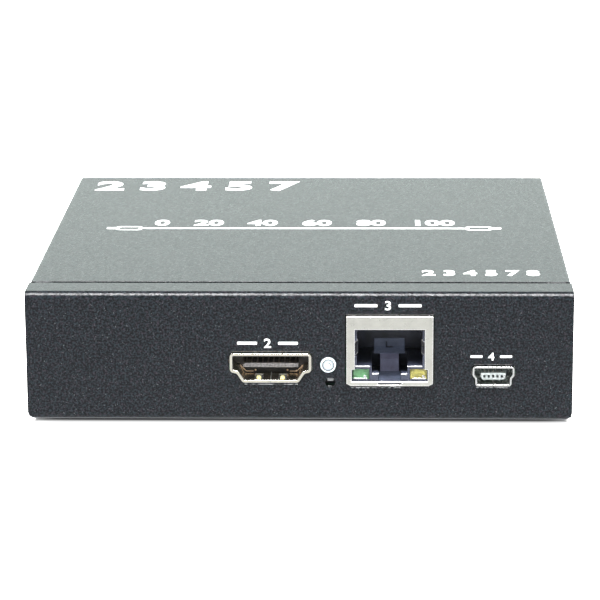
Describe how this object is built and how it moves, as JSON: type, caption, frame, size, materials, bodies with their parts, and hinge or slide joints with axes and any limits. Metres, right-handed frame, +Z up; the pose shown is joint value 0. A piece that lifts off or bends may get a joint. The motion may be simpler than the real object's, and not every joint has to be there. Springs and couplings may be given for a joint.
{
  "type": "hdmi extender",
  "caption": "Receiver box of a video extender: bent sheet case round a circuit board, with video, network, service, link, infrared and power sockets and a reset button behind a pinhole.",
  "frame": {"origin": "middle of the case, on the surface that its feet stand on", "axes": "+Z up, front with the video socket towards -Y, +X to the right seen from the front"},
  "size_m": [0.1, 0.1008, 0.0262],
  "materials": {
    "case_paint": "fine-textured black powder coat",
    "screw_black": "black",
    "foot_rubber": "matt",
    "board_green": "solder mask",
    "plain_steel": "plain",
    "video_nickel": "nickel plated, warm",
    "shield_nickel": "nickel plated",
    "service_nickel": "nickel plated",
    "contact_gold": "gold plated",
    "video_grey": "moulded",
    "service_grey": "moulded",
    "socket_black": "moulded",
    "button_grey": "moulded",
    "light_clear": "clear, water white",
    "light_green": "tinted green, diffused",
    "light_yellow": "tinted yellow, diffused",
    "chip_black": "moulded",
    "pad_blue": "soft",
    "sink_black": "black anodised",
    "can_sleeve": "shrink sleeve",
    "ferrite": "ferrite",
    "small_parts": "plain"
  },
  "bodies": {
    "case": {"base_tray": "case_paint", "top_cover": "case_paint", "cover_screws": "screw_black", "rubber_feet": "foot_rubber", "standoffs": "plain_steel", "circuit_board": "board_green", "board_screws": "plain_steel", "video_shell": "video_nickel", "video_insulator": "video_grey", "video_contacts": "contact_gold", "status_light": "light_clear", "status_light_leads": "plain_steel", "reset_switch_body": "socket_black", "reset_switch_plate": "plain_steel", "reset_switch_dome": "plain_steel", "network_shield": "shield_nickel", "network_housing": "socket_black", "network_contacts": "contact_gold", "network_left_light": "light_green", "network_right_light": "light_yellow", "service_shell": "service_nickel", "service_insulator": "service_grey", "service_contacts": "plain_steel", "link_shield": "shield_nickel", "link_housing": "socket_black", "link_contacts": "contact_gold", "link_left_light": "light_green", "link_right_light": "light_yellow", "infrared_out_jack": "socket_black", "infrared_out_contacts": "plain_steel", "infrared_in_jack": "socket_black", "infrared_in_contacts": "plain_steel", "power_jack_body": "socket_black", "power_jack_pin": "plain_steel", "power_jack_spring": "plain_steel", "receiver_chip": "chip_black", "thermal_pad": "pad_blue", "heat_sink": "sink_black", "network_chip": "chip_black", "controller_chip": "chip_black", "memory_chip": "chip_black", "link_transformer": "chip_black", "crystals": "plain_steel", "electrolytic_capacitors": "can_sleeve", "power_inductors": "ferrite", "voltage_regulator": "chip_black", "small_components": "small_parts"},
    "reset_button": {"reset_button": "button_grey"}
  },
  "joints": [
    {"name": "reset_press", "type": "slide", "parent": "case", "child": "reset_button", "axis": [0, 1, 0], "range_m": [0, 0.00025], "stiffness_N_per_m": 4000}
  ]
}
